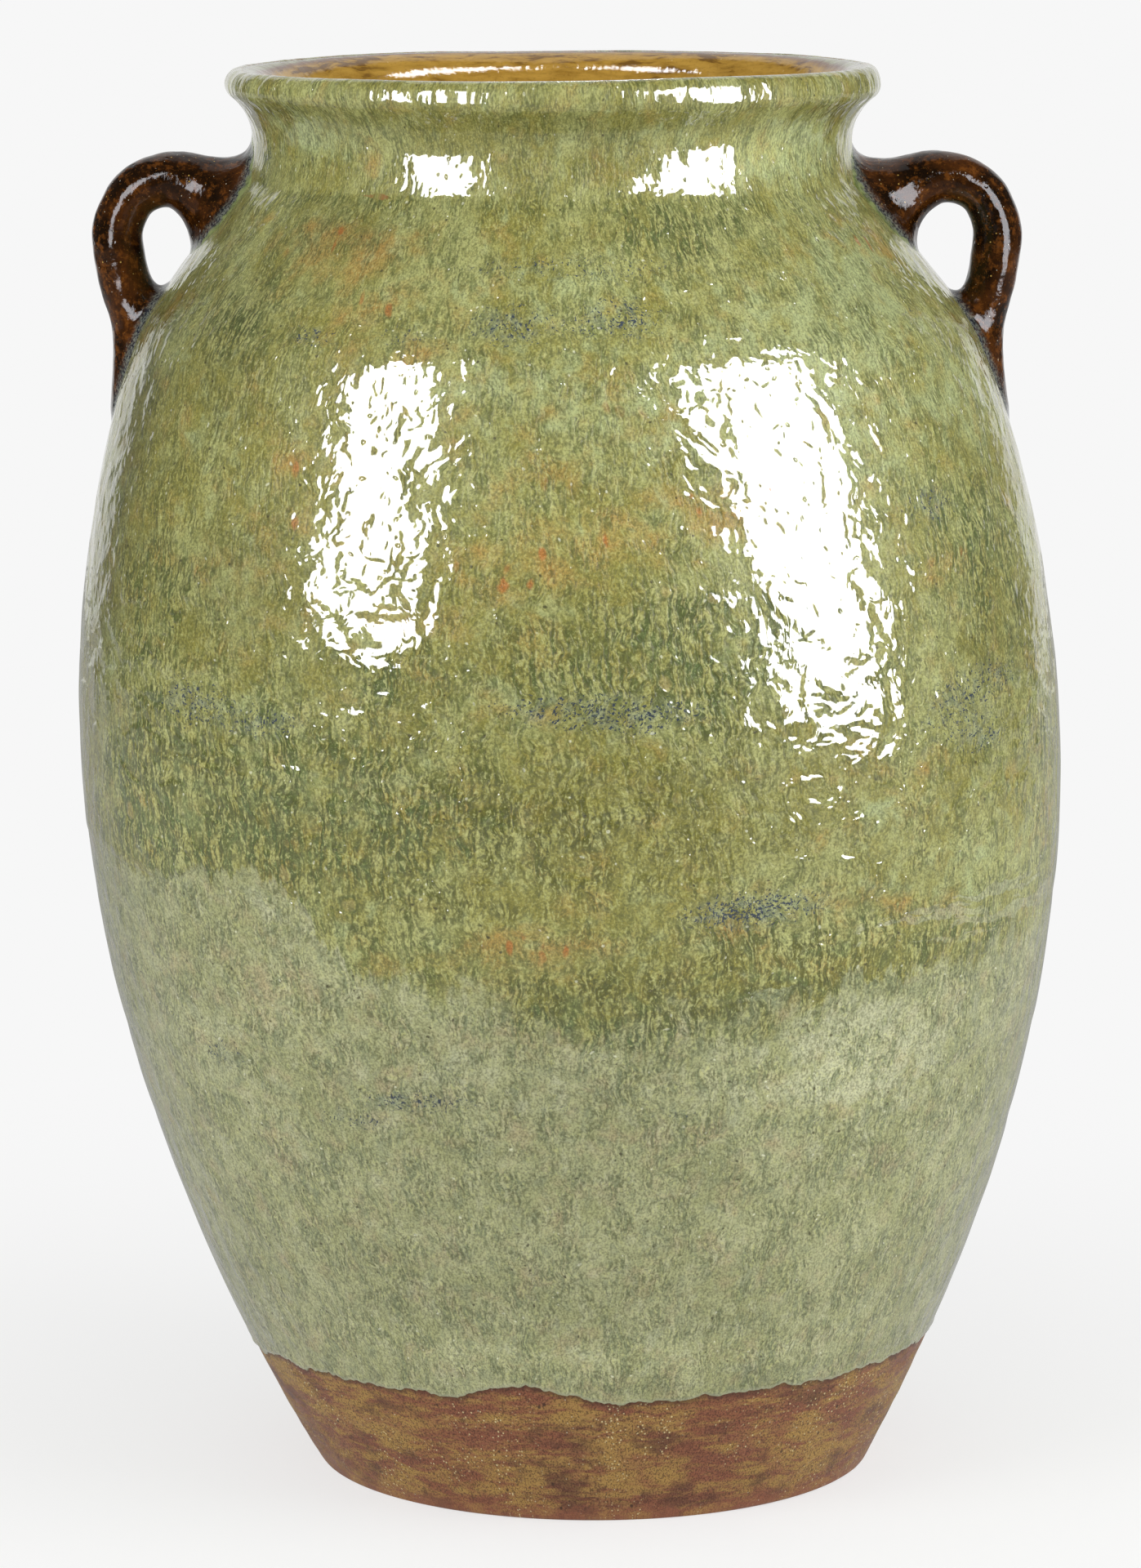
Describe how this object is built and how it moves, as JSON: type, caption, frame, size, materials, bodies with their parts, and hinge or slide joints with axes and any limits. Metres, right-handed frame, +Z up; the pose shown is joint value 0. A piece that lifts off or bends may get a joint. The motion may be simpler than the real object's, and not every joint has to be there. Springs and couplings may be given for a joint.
{
  "type": "martaban jar",
  "caption": "Tall glazed stoneware storage jar with a wide belly, narrow neck, rolled lip and a small ear handle on each shoulder.",
  "frame": {"origin": "on the standing face, under the middle of the belly", "axes": "+Z up through the mouth, +X to the right seen from the front towards the right handle, -Y towards the viewer"},
  "size_m": [0.3924, 0.392, 0.56],
  "materials": {
    "bare_clay": "unglazed brown stoneware with an iron wash",
    "covered_clay": "stoneware body hidden under glaze",
    "handle_glaze": "glossy dark iron-brown glaze",
    "first_glaze": "glossy pale grey-green glaze",
    "second_glaze": "glossy mottled olive-green glaze with brown and green runs",
    "inner_glaze": "glossy amber glaze"
  },
  "bodies": {
    "root": {"base_slab": "bare_clay", "lower_body": "bare_clay", "upper_body": "covered_clay", "neck": "covered_clay", "rim": "covered_clay", "left_handle": "handle_glaze", "right_handle": "handle_glaze", "first_glaze": "first_glaze", "second_glaze": "second_glaze", "inner_glaze": "inner_glaze"}
  },
  "joints": []
}
